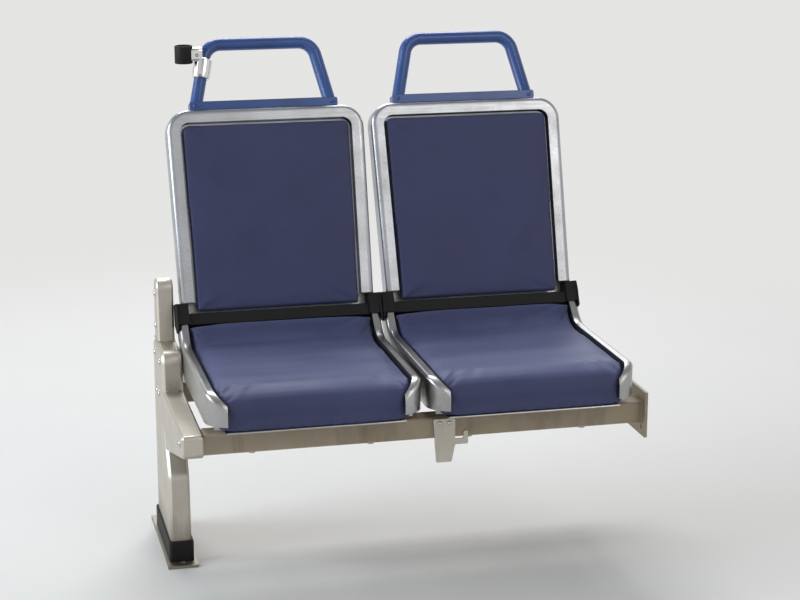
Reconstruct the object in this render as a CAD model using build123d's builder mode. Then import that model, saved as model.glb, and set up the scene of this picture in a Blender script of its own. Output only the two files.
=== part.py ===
"""Double passenger seat of a city bus: two formed metal shells with padded inserts, a grab handle on
each back, one aisle leg and a wall bracket. Millimetres, origin at the middle of the leg's floor bolts,
+X towards the wall, -Y the way that the passengers face, +Z up."""

from build123d import *
from math import cos, radians, sin
import os

# Driving dimensions of the seat pair.
SEAT_PITCH = 444.5
AISLE_SEAT_X = 240.0
SEATS = {"aisle": AISLE_SEAT_X, "window": AISLE_SEAT_X + SEAT_PITCH}
WALL_X = 932.0
SHEET = 2.0
FIT = 0.2
CUT = 1200.0

# Back: a leaning plane through its hip point, (y, z), where the rim ends and the insert rests.
BACK_LEAN = 19.0
HIP = (35.0, 520.0)
BACK_HEIGHT = 412.0
BACK_TOP_HALF = 215.0
BACK_HIP_HALF = 208.0
BACK_CORNER = 48.0
BACK_BELOW_HIP = 25.0

# Rim of a back: a rolled channel of sheet, open at its lower ends.
RIM_WIDTH = 28.0
RIM_PROUD = 20.0
RIM_BEHIND = 22.0
RIM_FLANGE = 8.0
RIM_REAR_FLANGE = 12.0
RIM_LINE = [
    (RIM_WIDTH + RIM_FLANGE, 0),
    (RIM_WIDTH, 0),
    (RIM_WIDTH, RIM_PROUD),
    (0, RIM_PROUD),
    (0, -RIM_BEHIND),
    (RIM_REAR_FLANGE, -RIM_BEHIND),
]
RIM_BENDS = [0, 0, 10.0, 0]

# Padded insert of a back.
INSERT_GAP = 3.0
INSERT_REST = 0.3
INSERT_FACE = 22.0
INSERT_ROUND = 7.0
INSERT_BELOW_HIP = 22.0

# Side line of a seat, (y, z) from its rear end down to the flat and over the front edge.
PAN_REAR = (14.0, 504.0)
CUSHION_REAR = (-6.0, 483.6)
SEAT_LINE = [(-42.0, 447.0), (-405.0, 449.0), (-405.0, 369.0)]
SEAT_BENDS = [62.0, 48.0]
CUSHION_HALF = 198.0
CUSHION_THICK = 34.0
CUSHION_CORNER = 46.0

# Pan: a deep tray whose side rolls stand beside the cushion.
PAN_HALF = 217.0
PAN_CORNER = 50.0
PAN_ROLL_ROUND = 8.0
PAN_ROLL_CHAMFER = 3.6
ROLL_TOP_SLOPE = 0.3
PAN_GAP = 0.5
PAN_NOSE_HALF = 176.0
SKIRT_LINE = [(42.5, 476.0), (-40.0, 383.0), (-405.0, 383.0)]
SKIRT_BENDS = [80.0]
PAN_LIP = (360.0, 28.0)

# Black moulding in the bight: the strip between the inserts and a cap over each hip, (y, z).
STRIP_OUTLINE = [(-2.0, 483.5), (18.4, 461.5), (37.0, 480.2), (28.8, 498.2), (10.0, 504.6)]
CAP_FILL = [(-6.0, 486.4), (2.0, 506.0), (15.6, 526.0), (50.6, 513.9), (38.6, 482.0), (14.8, 505.4)]
CAP_SIDE = [(-14.0, 478.0), (2.0, 512.0), (14.0, 527.0), (57.0, 513.0), (46.0, 470.0), (10.0, 462.0)]
CAP_INNER = 194.5
CAP_OUTER = 220.5
CAP_ROUND = 5.0
STRIP_ROUND = 2.0

# Grab handle: a bent tube on a flat bar, in the plane of the back.
HANDLE_TUBE = 27.5
HANDLE_BACK = 3.0
HANDLE_SINK = 12.0
HANDLE_BASE_HALF = 161.0
HANDLE_TOP_HALF = 115.0
HANDLE_RISE = 143.0
HANDLE_CORNER = 38.0
HANDLE_BAR = (18.0, 28.0)
HANDLE_BAR_ROUND = 4.0

# Frame under the shells.
BEAM = 45.0
BEAM_WALL = 3.0
BEAM_TOP_Z = 358.0
FRONT_BEAM_Y = -335.0
REAR_BEAM_Y = 20.0
RAIL_HALF_SPAN = 120.0
RAIL_WIDTH = 30.0
RAIL_WALL = 3.0
RAIL_FRONT_Y = -364.0
RAIL_LENGTH = 382.0
SUPPORT_HEIGHT = 190.0
SUPPORT_DEPTH = 22.0
SUPPORT_BEND = 60.0

# Flat hanger with a hook on the front beam, seen from the front: (x, z) from its top middle.
HANGER_X = 506.0
HANGER_THICK = 4.0
HANGER_OUTLINE = [
    (-23, 0), (23, 0), (23, -44), (40, -44), (40, -28),
    (50, -28), (50, -56), (23, -56), (16, -92), (-16, -92),
]
HANGER_ROUND = 3.5

# Aisle leg: side views, (y, z), of the leg and of the upright beside the back.
LEG_WIDTH = 44.0
LEG_WALL = 2.5
LEG_CHAMFER = 6.0
LEG_TOP_Z = 440.0
LEG_OUTLINE = [(-128, 8), (-118, 190), (-62, 280), (-58, LEG_TOP_Z), (96, LEG_TOP_Z), (98, 60), (106, 8)]
LEG_CORNERS = [0, 34.0, 60.0, 24.0, 24.0, 0, 0]
UPRIGHT_OUTLINE = [(34, LEG_TOP_Z), (42, 572), (86, 572), (92, LEG_TOP_Z)]
UPRIGHT_CORNERS = [0, 20.0, 20.0, 0]
UPRIGHT_WIDTH = 36.0
UPRIGHT_CHAMFER = 4.0
ARM_OUTLINE = [(-366, 358), (-366, 312), (-80, 236), (-50, 280), (-50, 358)]
ARM_CORNERS = [8.0, 12.0, 0, 0, 0]
ARM_CHAMFER = 4.0
BOOT_TOP_Z = 50.0
BOOT_WALL = 4.0
BOOT_CORNER = 8.0
FOOT = (64.0, 312.0, 6.0)
FOOT_BOLT_PITCH = 276.0
FOOT_BOLT_R = 5.5

# Wall bracket.
WALL_PLATE = (6.0, 440.0, 96.0)
WALL_BOLT_PITCH = (400.0, 60.0)
WALL_BOLT_R = 5.5

# Stanchion holder on the aisle handle's outer leg.
SOCKET_X = 74.0
SOCKET_BORE = 16.2
SOCKET_WALL = 3.0
SOCKET_TOP_Z = 1046.0
SOCKET_DEPTH = 34.0
SOCKET_FLOOR = 4.0
CLAMP_PLACE = 0.62
CLAMP_WALL = 6.0
CLAMP_LENGTH = 44.0
CLAMP_ARM = (24.0, 30.0)
CLAMP_ARM_ROUND = 8.0

BEAM_MID_Z = BEAM_TOP_Z - BEAM / 2
LEG_INNER_X = LEG_WIDTH / 2
PLATE_X = WALL_X - WALL_PLATE[0]
PLATE_Y = (FRONT_BEAM_Y + REAR_BEAM_Y) / 2
PAN_LINE = [PAN_REAR, *SEAT_LINE]
PAN_BEYOND = Vector(*PAN_REAR) * 2 - Vector(*SEAT_LINE[0])
CUSHION_LINE = [CUSHION_REAR, *SEAT_LINE]
FORWARD = Vector(0, -cos(radians(BACK_LEAN)), sin(radians(BACK_LEAN)))
UPWARD = Vector(0, sin(radians(BACK_LEAN)), cos(radians(BACK_LEAN)))
HANDLE_FOOT = Vector(HANDLE_BASE_HALF - HANDLE_TUBE / 2, BACK_HEIGHT + HANDLE_BAR[0] - HANDLE_SINK)
HANDLE_TOP = Vector(HANDLE_TOP_HALF, BACK_HEIGHT + HANDLE_RISE)


def back_plane(seat_x, forward=0.0):
    """Plane of a back, x across and y up along it, moved forward by a distance."""
    return Plane(Vector(seat_x, *HIP) + FORWARD * forward, x_dir=(1, 0, 0), z_dir=FORWARD)


def on_back(height, forward):
    """Side view point, (y, z), at a height along the back and a distance in front of its plane."""
    point = Vector(0, *HIP) + UPWARD * height + FORWARD * forward
    return point.Y, point.Z


def support_line():
    """Side line of a support's front, (y, z): down the rear panel, then down the rear beam."""
    behind = SHEET - RIM_BEHIND - FIT
    foot_y = REAR_BEAM_Y + BEAM / 2 + FIT
    bend_height = (foot_y - on_back(0, behind)[0]) / UPWARD.Y
    return [on_back(SUPPORT_HEIGHT, behind), on_back(bend_height, behind), (foot_y, BEAM_TOP_Z - BEAM)]


def moved_corners(points, distance):
    """Corners of the same open outline, moved to the left of its direction of travel."""
    corners = [Vector(*point) for point in points]
    lefts = [(b - a).normalized().rotate(Axis.Z, 90) for a, b in zip(corners, corners[1:])]
    moved = [corners[0] + lefts[0] * distance]
    for corner, before, after in zip(corners[1:], lefts, lefts[1:]):
        middle = (before + after).normalized()
        moved.append(corner + middle * (distance / middle.dot(before)))
    return moved + [corners[-1] + lefts[-1] * distance]


def moved_bends(points, bends, distance):
    """Bend radii of the moved outline: a left turn gets tighter, a right turn wider, 0 stays sharp."""
    corners = [Vector(*point) for point in points]
    steps = [b - a for a, b in zip(corners, corners[1:])]
    turns = [before.cross(after).Z for before, after in zip(steps, steps[1:])]
    return [bend and (bend - distance if turn > 0 else bend + distance) for bend, turn in zip(bends, turns)]


def band(points, bends, near, far):
    """Face between an outline moved by near and the same outline moved by far."""
    with BuildSketch(Plane.XY, mode=Mode.PRIVATE) as face:
        with BuildLine():
            first = FilletPolyline(*moved_corners(points, near), radius=moved_bends(points, bends, near))
            second = FilletPolyline(*moved_corners(points, far), radius=moved_bends(points, bends, far))
            Line(first @ 0, second @ 0)
            Line(first @ 1, second @ 1)
        make_face()
    return face.sketch


def below(points, bends, near, floor_z):
    """Face from an outline moved by near down to a level line."""
    with BuildSketch(Plane.XY, mode=Mode.PRIVATE) as face:
        with BuildLine():
            top = FilletPolyline(*moved_corners(points, near), radius=moved_bends(points, bends, near))
            Polyline(top @ 0, ((top @ 0).X, floor_z), ((top @ 1).X, floor_z), top @ 1)
        make_face()
    return face.sketch


def skirt_side():
    """Side view of the pan's tray, from its top line down to the skirt's lower edge."""
    with BuildSketch(Plane.XY, mode=Mode.PRIVATE) as face:
        with BuildLine():
            upper = FilletPolyline(*PAN_LINE[:-1], SKIRT_LINE[-1], radius=SEAT_BENDS)
            lower = FilletPolyline(*SKIRT_LINE, radius=SKIRT_BENDS)
            Line(upper @ 0, lower @ 0)
        make_face()
    return face.sketch


def rounded(points, radius):
    """Closed outline with round corners, by one radius or a list of them."""
    with BuildSketch(Plane.XY, mode=Mode.PRIVATE) as face:
        with BuildLine():
            FilletPolyline(*points, radius=radius, close=True)
        make_face()
    return face.sketch


def back_outline(edge, below_hip):
    """Front view of a back, drawn inward from the rim's outline by an edge width."""
    slope = (BACK_TOP_HALF - BACK_HIP_HALF) / BACK_HEIGHT
    top, half = BACK_HEIGHT - edge, BACK_TOP_HALF - edge
    low = BACK_HIP_HALF - edge - slope * below_hip
    with BuildSketch(Plane.XY, mode=Mode.PRIVATE) as face:
        with BuildLine():
            Polyline((-low, -below_hip), (low, -below_hip), (half, top), (-half, top), close=True)
        make_face()
        fillet(face.vertices().group_by(Axis.Y)[-1], BACK_CORNER - edge)
    return face.sketch


def plan_outline(half, front_y, corner):
    """Plan of a seat piece with round front corners, running on behind the seat."""
    with BuildSketch(Plane.XY, mode=Mode.PRIVATE) as face:
        with Locations((0, front_y)):
            Rectangle(2 * half, 2 * abs(front_y), align=(Align.CENTER, Align.MIN))
        fillet(face.vertices().group_by(Axis.Y)[0], corner)
    return face.sketch


def side_slab(face, left_x, width):
    """A side view, (y, z), extruded across a width that starts at left_x."""
    with BuildPart() as slab:
        with BuildSketch(Plane.YZ.offset(left_x)):
            add(face)
        extrude(amount=width)
    return slab.part


def side_bars(seat_x, side_view, inset, inner):
    """Both side rolls of the pan as bars with a round outer edge, or as the space inside them."""
    half = PAN_HALF - inset
    with BuildPart() as bars:
        add(side_slab(side_view, seat_x - half, 2 * half))
        with BuildSketch(Plane.XY):
            with Locations((seat_x, 0)):
                add(plan_outline(half, SEAT_LINE[-1][0] + inset, PAN_CORNER - inset))
                Rectangle(2 * inner, CUT, mode=Mode.SUBTRACT)
        extrude(amount=CUT, mode=Mode.INTERSECT)
        tops = bars.faces().filter_by(lambda face: face.normal_at(face.center()).Z > ROLL_TOP_SLOPE)
        tops = tops.filter_by(lambda face: face.center().Y < PAN_REAR[0])
        edges = tops.edges().filter_by(lambda edge: abs(edge.center().X - seat_x) > inner + SHEET)
        edges = edges.filter_by(Axis.X, reverse=True)
        if inset:
            chamfer(edges, PAN_ROLL_CHAMFER)
        else:
            fillet(edges, PAN_ROLL_ROUND)
    return bars.part


def export_piece(piece, name):
    """Label a finished part and write it."""
    piece.part.label = name
    export_step(piece.part, f"parts/{name}.step")


os.makedirs("parts", exist_ok=True)

for seat, seat_x in SEATS.items():
    # Rim: one channel of sheet, swept up one side, over the top and down the other.
    with BuildPart() as back_rim:
        with BuildLine(back_plane(seat_x)) as loop:
            FilletPolyline(
                (BACK_HIP_HALF, 0),
                (BACK_TOP_HALF, BACK_HEIGHT),
                (-BACK_TOP_HALF, BACK_HEIGHT),
                (-BACK_HIP_HALF, 0),
                radius=BACK_CORNER,
            )
        start, along = loop.line @ 0, loop.line % 0
        with BuildSketch(Plane(start, x_dir=FORWARD.cross(along), z_dir=along)):
            add(band(RIM_LINE, RIM_BENDS, 0, SHEET))
        sweep()
    export_piece(back_rim, f"{seat}_back_rim")

    # Rear panel, held in front of the rim's rear flange.
    with BuildPart() as back_shell:
        with BuildSketch(back_plane(seat_x, SHEET - RIM_BEHIND)):
            add(back_outline(SHEET + FIT, BACK_BELOW_HIP))
        extrude(amount=SHEET)
    export_piece(back_shell, f"{seat}_back_shell")

    # Padded back insert.
    with BuildPart() as back_insert:
        with BuildSketch(back_plane(seat_x, INSERT_REST)):
            add(back_outline(RIM_WIDTH + INSERT_GAP, INSERT_BELOW_HIP))
        extrude(amount=INSERT_FACE - INSERT_REST)
        fillet(back_insert.faces().sort_by(Axis.Y)[0].edges(), INSERT_ROUND)
    export_piece(back_insert, f"{seat}_back_insert")

    # Seat pan: a floor between two hollow side rolls with deep skirts, and a lip below the cushion.
    # The rolls wrap round the cushion's front corners, where they end in a nose.
    roll_inner = CUSHION_HALF + PAN_GAP
    roll_under = below([PAN_BEYOND, *SEAT_LINE], SEAT_BENDS, SHEET, 0)
    with BuildPart() as seat_pan:
        add(side_bars(seat_x, skirt_side(), 0, PAN_NOSE_HALF))
        with BuildSketch(Plane.XY):
            with Locations((seat_x, 0)):
                add(plan_outline(roll_inner, SEAT_LINE[-1][0] - PAN_GAP, CUSHION_CORNER + PAN_GAP))
        extrude(amount=CUT, mode=Mode.SUBTRACT)
        add(side_bars(seat_x, roll_under, SHEET, roll_inner + SHEET), mode=Mode.SUBTRACT)
        floor_face = band(PAN_LINE, SEAT_BENDS, CUSHION_THICK, CUSHION_THICK + SHEET)
        add(side_slab(floor_face, seat_x - roll_inner, 2 * roll_inner))
        with Locations((seat_x, SEAT_LINE[-1][0] + CUSHION_THICK + SHEET, SEAT_LINE[-1][1])):
            Box(PAN_LIP[0], PAN_LIP[1] + SHEET, SHEET, align=(Align.CENTER, Align.MAX, Align.MAX))
    export_piece(seat_pan, f"{seat}_seat_pan")

    # Padded seat insert.
    with BuildPart() as seat_insert:
        cushion_face = band(CUSHION_LINE, SEAT_BENDS, 0, CUSHION_THICK - INSERT_REST)
        add(side_slab(cushion_face, seat_x - CUSHION_HALF, 2 * CUSHION_HALF))
        with BuildSketch(Plane.XY):
            with Locations((seat_x, 0)):
                add(plan_outline(CUSHION_HALF, SEAT_LINE[-1][0], CUSHION_CORNER))
        extrude(amount=CUT, mode=Mode.INTERSECT)
    export_piece(seat_insert, f"{seat}_seat_insert")

    # Moulded strip in the bight, with a cap over each hip.
    with BuildPart() as bight_trim:
        add(side_slab(rounded(STRIP_OUTLINE, STRIP_ROUND), seat_x - CAP_INNER, 2 * CAP_INNER))
        for side in (-1, 1):
            fill_x = min(side * CAP_INNER, side * (PAN_HALF + FIT))
            add(side_slab(rounded(CAP_FILL, [0] * len(CAP_FILL)), seat_x + fill_x, PAN_HALF + FIT - CAP_INNER))
            cover_x = min(side * (PAN_HALF + FIT), side * CAP_OUTER)
            add(side_slab(rounded(CAP_SIDE, CAP_ROUND), seat_x + cover_x, CAP_OUTER - PAN_HALF - FIT))
    export_piece(bight_trim, f"{seat}_bight_trim")

    # Grab handle: a flat bar on the rim's top and a bent tube in the plane of the back.
    with BuildPart() as grab_handle:
        with BuildLine(back_plane(seat_x, -HANDLE_BACK)) as loop:
            FilletPolyline(
                (HANDLE_FOOT.X, HANDLE_FOOT.Y),
                (HANDLE_TOP.X, HANDLE_TOP.Y),
                (-HANDLE_TOP.X, HANDLE_TOP.Y),
                (-HANDLE_FOOT.X, HANDLE_FOOT.Y),
                radius=HANDLE_CORNER,
            )
        with BuildSketch(Plane(loop.line @ 0, z_dir=loop.line % 0)):
            Circle(HANDLE_TUBE / 2)
        sweep()
        with BuildSketch(back_plane(seat_x, -HANDLE_BACK - HANDLE_BAR[1] / 2)):
            with Locations((0, BACK_HEIGHT + HANDLE_BAR[0] / 2)):
                RectangleRounded(2 * HANDLE_BASE_HALF, HANDLE_BAR[0], HANDLE_BAR_ROUND)
        extrude(amount=HANDLE_BAR[1])
    export_piece(grab_handle, f"{seat}_grab_handle")

    # Two rails, open below, that carry the pan on the beams.
    with BuildPart() as pan_rails:
        for side in (-1, 1):
            rail_x = seat_x + side * RAIL_HALF_SPAN - RAIL_WIDTH / 2
            for wall, mode in ((0, Mode.ADD), (RAIL_WALL, Mode.SUBTRACT)):
                with BuildSketch(Plane.YZ.offset(rail_x + wall)):
                    add(below(PAN_LINE, SEAT_BENDS, CUSHION_THICK + SHEET + FIT + wall, BEAM_TOP_Z))
                    with Locations((RAIL_FRONT_Y, BEAM_TOP_Z)):
                        Rectangle(RAIL_LENGTH, HIP[1] - BEAM_TOP_Z, align=Align.MIN, mode=Mode.INTERSECT)
                extrude(amount=RAIL_WIDTH - 2 * wall, mode=mode)
    export_piece(pan_rails, f"{seat}_pan_rails")

    # Two channels, open to the front, that carry the back on the rear beam.
    with BuildPart() as back_supports:
        for side in (-1, 1):
            support_x = seat_x + side * RAIL_HALF_SPAN - RAIL_WIDTH / 2
            for wall, mode in ((0, Mode.ADD), (RAIL_WALL, Mode.SUBTRACT)):
                with BuildSketch(Plane.YZ.offset(support_x + wall)):
                    add(band(support_line(), [SUPPORT_BEND], -wall, SUPPORT_DEPTH - wall))
                extrude(amount=RAIL_WIDTH - 2 * wall, mode=mode)
    export_piece(back_supports, f"{seat}_back_supports")

# Cross beams from the leg to the wall bracket.
for beam_name, beam_y in {"front_beam": FRONT_BEAM_Y, "rear_beam": REAR_BEAM_Y}.items():
    with BuildPart() as beam:
        with BuildSketch(Plane.YZ.offset(LEG_INNER_X)):
            with Locations((beam_y, BEAM_MID_Z)):
                RectangleRounded(BEAM, BEAM, 2 * BEAM_WALL)
                RectangleRounded(BEAM - 2 * BEAM_WALL, BEAM - 2 * BEAM_WALL, BEAM_WALL, mode=Mode.SUBTRACT)
        extrude(amount=PLATE_X - LEG_INNER_X)
    export_piece(beam, beam_name)

# Flat hanger with a hook, on the front beam's front face.
with BuildPart() as beam_hanger:
    with BuildSketch(Plane.XZ.offset(BEAM / 2 - FRONT_BEAM_Y + FIT)):
        with Locations((HANGER_X, BEAM_TOP_Z - BEAM_WALL)):
            add(rounded(HANGER_OUTLINE, HANGER_ROUND))
    extrude(amount=HANGER_THICK)
export_piece(beam_hanger, "beam_hanger")

# Aisle leg: a hollow pressed panel that stands in a boot on the floor plate.
leg_side = rounded(LEG_OUTLINE, LEG_CORNERS)
with BuildPart() as aisle_leg:
    add(side_slab(leg_side, -LEG_INNER_X, LEG_WIDTH))
    chamfer(aisle_leg.faces().filter_by(Axis.X).edges().sort_by(Axis.Z)[2:], LEG_CHAMFER)
    offset(amount=-LEG_WALL, openings=aisle_leg.faces().sort_by(Axis.Z)[0])
export_piece(aisle_leg, "aisle_leg")

with BuildPart() as leg_boot:
    with BuildSketch(Plane.XY.offset(FOOT[2])):
        with Locations((0, (LEG_OUTLINE[0][0] + LEG_OUTLINE[-1][0]) / 2)):
            boot_length = LEG_OUTLINE[-1][0] - LEG_OUTLINE[0][0]
            RectangleRounded(LEG_WIDTH + 2 * BOOT_WALL, boot_length + 2 * BOOT_WALL, BOOT_CORNER)
    extrude(amount=BOOT_TOP_Z - FOOT[2])
    chamfer(leg_boot.faces().sort_by(Axis.Z)[-1].edges(), BOOT_WALL / 2)
    add(side_slab(leg_side, -LEG_INNER_X - FIT, LEG_WIDTH + 2 * FIT), mode=Mode.SUBTRACT)
export_piece(leg_boot, "leg_boot")

with BuildPart() as leg_foot:
    Box(*FOOT, align=(Align.CENTER, Align.CENTER, Align.MIN))
    with Locations((0, -FOOT_BOLT_PITCH / 2, FOOT[2]), (0, FOOT_BOLT_PITCH / 2, FOOT[2])):
        Hole(FOOT_BOLT_R)
export_piece(leg_foot, "leg_foot")

# Arm that carries the front beam: hollow, and open where it meets the leg.
arm_side = rounded(ARM_OUTLINE, ARM_CORNERS)
with BuildSketch(Plane.XY, mode=Mode.PRIVATE) as arm_space:
    add(arm_side)
    offset(amount=-LEG_WALL)
with BuildPart() as leg_arm:
    add(side_slab(arm_side, -LEG_INNER_X, LEG_WIDTH))
    chamfer(leg_arm.faces().filter_by(Axis.X).edges(), ARM_CHAMFER)
    add(side_slab(arm_space.sketch, LEG_WALL - LEG_INNER_X, LEG_WIDTH - 2 * LEG_WALL), mode=Mode.SUBTRACT)
    add(side_slab(leg_side, -LEG_INNER_X, LEG_WIDTH), mode=Mode.SUBTRACT)
export_piece(leg_arm, "leg_arm")

# Hollow upright beside the back.
with BuildPart() as leg_upright:
    add(side_slab(rounded(UPRIGHT_OUTLINE, UPRIGHT_CORNERS), -UPRIGHT_WIDTH / 2, UPRIGHT_WIDTH))
    chamfer(leg_upright.faces().filter_by(Axis.X).edges().sort_by(Axis.Z)[2:], UPRIGHT_CHAMFER)
    offset(amount=-LEG_WALL, openings=leg_upright.faces().sort_by(Axis.Z)[0])
export_piece(leg_upright, "leg_upright")

# Wall bracket with its bolt holes.
with BuildPart() as wall_bracket:
    with Locations((PLATE_X, PLATE_Y, BEAM_MID_Z)):
        Box(*WALL_PLATE, align=(Align.MIN, Align.CENTER, Align.CENTER))
    with BuildSketch(Plane.YZ.offset(PLATE_X)):
        with Locations((PLATE_Y, BEAM_MID_Z)):
            with GridLocations(*WALL_BOLT_PITCH, 2, 2):
                Circle(WALL_BOLT_R)
    extrude(amount=WALL_PLATE[0], mode=Mode.SUBTRACT)
export_piece(wall_bracket, "wall_bracket")

# Stanchion socket, and the clamp that holds it on the outer leg of the aisle handle.
handle_plane = back_plane(AISLE_SEAT_X, -HANDLE_BACK)
outer_foot = handle_plane.from_local_coords(Vector(-HANDLE_FOOT.X, HANDLE_FOOT.Y))
outer_top = handle_plane.from_local_coords(Vector(-HANDLE_TOP.X, HANDLE_TOP.Y))
clamp_centre = outer_foot + (outer_top - outer_foot) * CLAMP_PLACE
clamp_plane = Plane(clamp_centre, z_dir=outer_top - outer_foot)
with BuildPart() as stanchion_socket:
    with Locations((SOCKET_X, clamp_centre.Y, SOCKET_TOP_Z)):
        Cylinder(
            SOCKET_BORE + SOCKET_WALL,
            SOCKET_DEPTH + SOCKET_FLOOR,
            align=(Align.CENTER, Align.CENTER, Align.MAX),
        )
        Cylinder(
            SOCKET_BORE,
            SOCKET_DEPTH,
            align=(Align.CENTER, Align.CENTER, Align.MAX),
            mode=Mode.SUBTRACT,
        )
export_piece(stanchion_socket, "stanchion_socket")

with BuildPart() as stanchion_clamp:
    with Locations(clamp_plane):
        Cylinder(HANDLE_TUBE / 2 + CLAMP_WALL, CLAMP_LENGTH)
    chamfer(stanchion_clamp.edges().filter_by(GeomType.CIRCLE), CLAMP_WALL / 3)
    with BuildSketch(Plane.YZ.offset(SOCKET_X)):
        with Locations((clamp_centre.Y, SOCKET_TOP_Z - (SOCKET_DEPTH + SOCKET_FLOOR) / 2)):
            RectangleRounded(*CLAMP_ARM, CLAMP_ARM_ROUND)
    extrude(amount=clamp_centre.X - SOCKET_X)
    with Locations(clamp_plane):
        Cylinder(HANDLE_TUBE / 2 + FIT, CUT, mode=Mode.SUBTRACT)
    with Locations((SOCKET_X, clamp_centre.Y, SOCKET_TOP_Z)):
        Cylinder(SOCKET_BORE + SOCKET_WALL + FIT, CUT, mode=Mode.SUBTRACT)
export_piece(stanchion_clamp, "stanchion_clamp")
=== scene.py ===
"""Looks of the double bus seat: upholstery, metal finishes, small fittings, floor, light and camera.
Everything is in metres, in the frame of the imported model."""

import math

import bmesh
import bpy
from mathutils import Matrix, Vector, noise
from mathutils.bvhtree import BVHTree

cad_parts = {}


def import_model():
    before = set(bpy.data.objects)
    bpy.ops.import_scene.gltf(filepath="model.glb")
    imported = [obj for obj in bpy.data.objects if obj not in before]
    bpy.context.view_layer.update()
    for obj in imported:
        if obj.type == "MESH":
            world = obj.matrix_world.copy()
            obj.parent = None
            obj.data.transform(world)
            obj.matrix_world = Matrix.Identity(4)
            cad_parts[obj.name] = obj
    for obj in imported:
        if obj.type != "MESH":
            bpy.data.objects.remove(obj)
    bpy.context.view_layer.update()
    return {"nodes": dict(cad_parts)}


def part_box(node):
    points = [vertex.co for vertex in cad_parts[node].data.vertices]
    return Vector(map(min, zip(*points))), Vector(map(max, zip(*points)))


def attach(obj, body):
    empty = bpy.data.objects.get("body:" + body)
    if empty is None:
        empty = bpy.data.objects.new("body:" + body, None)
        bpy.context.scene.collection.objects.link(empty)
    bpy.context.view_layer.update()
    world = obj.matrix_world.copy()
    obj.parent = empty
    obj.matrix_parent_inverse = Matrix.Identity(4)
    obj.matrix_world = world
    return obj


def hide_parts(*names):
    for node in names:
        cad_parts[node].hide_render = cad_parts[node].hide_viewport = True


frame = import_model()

BODY = "root"
SEATS = ("aisle", "window")
SIDES = (-1, 1)


def middle_of(node_name):
    """The middle of a CAD node's box."""
    low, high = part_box(node_name)
    return (low + high) / 2


# Places that the covers and the small fittings go by. Each rail and back support stands RAIL_SIDE from its
# seat's middle line and is twice RAIL_HALF wide.
SEAT_MIDDLE = {seat: middle_of(f"{seat}_seat_insert").x for seat in SEATS}
BEAM_MIDDLE = {beam: middle_of(f"{beam}_beam") for beam in ("front", "rear")}
BACK_LEAN = math.radians(19.0)
BACK_FORWARD = Vector((0, -math.cos(BACK_LEAN), math.sin(BACK_LEAN)))
BACK_UPWARD = Vector((0, math.sin(BACK_LEAN), math.cos(BACK_LEAN)))
HIP = Vector((0, 0.035, 0.520))
RAIL_SIDE = 0.120
RAIL_HALF = 0.015

# Camera: where the photograph was taken from, and the lens that lets the seat fill the frame.
CAMERA_PLACE = (-0.456, -3.991, 1.575)
CAMERA_AIM = (0.494, -0.031, 0.518)
CAMERA_LENS = 88.5

# Stage: a pale floor that turns into the backdrop between two distances from its middle.
FLOOR_COLOUR = (0.62, 0.61, 0.59)
FLOOR_TINT = 1.03
FLOOR_RADIUS = 16.0
FLOOR_SIDES = 96
STAGE_MIDDLE = (0.45, -0.10, 0.0)
BACKDROP_FROM, BACKDROP_FULL = 1.0, 3.2

# Light: lamps in a dim room with pale windows. The camera and glossy surfaces see a pale backdrop instead,
# which is darker overhead. The pairs are the parts of a direction, sideways or up, between which a window
# or the darker backdrop fades in.
BACKDROP_COLOUR = (0.78, 0.78, 0.77)
BACKDROP_ABOVE = (0.36, 0.37, 0.39)
ROOM_COLOUR = (0.26, 0.25, 0.24)
WINDOW_COLOUR = (0.88, 0.94, 1.0)
WINDOW_SIDEWAYS = (0.45, 0.85)
WINDOW_UP = (-0.15, 0.25)
SKYLIGHT_UP = (0.45, 0.95)
BACKDROP_UP = (0.30, 0.75)
WORLD_LIGHT = 0.60
LAMPS = {
    "key": {"place": (2.4, -3.6, 3.2), "size": (2.0, 2.4), "power": 34,
            "colour": (1.0, 0.96, 0.90)},
    "left_window": {"place": (-4.4, -0.2, 2.3), "size": (2.8, 3.4), "power": 180,
                    "colour": (0.82, 0.91, 1.0)},
    "top": {"place": (0.5, 2.2, 4.1), "size": (2.8, 1.2), "power": 118,
            "colour": (1.0, 1.0, 1.0)},
    "rear": {"place": (1.2, 4.2, 2.6), "size": (3.0, 1.8), "power": 48,
             "colour": (0.95, 0.97, 1.0)},
}

# Edges: what counts as one point, as flat and as sharp on a CAD node, how round its edges get, and what
# is a sharp edge of an added piece.
SAME_POINT = 0.00002
FLAT_ANGLE = math.radians(1.0)
SHARP_ANGLE = math.radians(28)
EDGE_ROUNDING = 0.0008
ADDED_SHARP_ANGLE = math.radians(35)

# Pads: how far they are drawn in, swell and pull in between corners. A point that faces away from outward
# by more than PAD_HELD stays on its board.
PAD_INSET = {"seat": 0.002, "back": 0.0012}
PAD_SWELL = {"seat": 0.0045, "back": 0.0018}
PAD_WAIST = {"seat": 0.0014, "back": 0.0006}
PAD_WAIST_POWER = 5
PAD_VOXEL = 0.0055
PAD_FRAMES = 20
PAD_HELD = -0.35
PAD_CLOTH = {"quality": 5, "mass": 0.25, "tension_stiffness": 12, "compression_stiffness": 12,
             "shear_stiffness": 6, "bending_stiffness": 0.6, "use_pressure": True,
             "uniform_pressure_force": 4.0}

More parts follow.
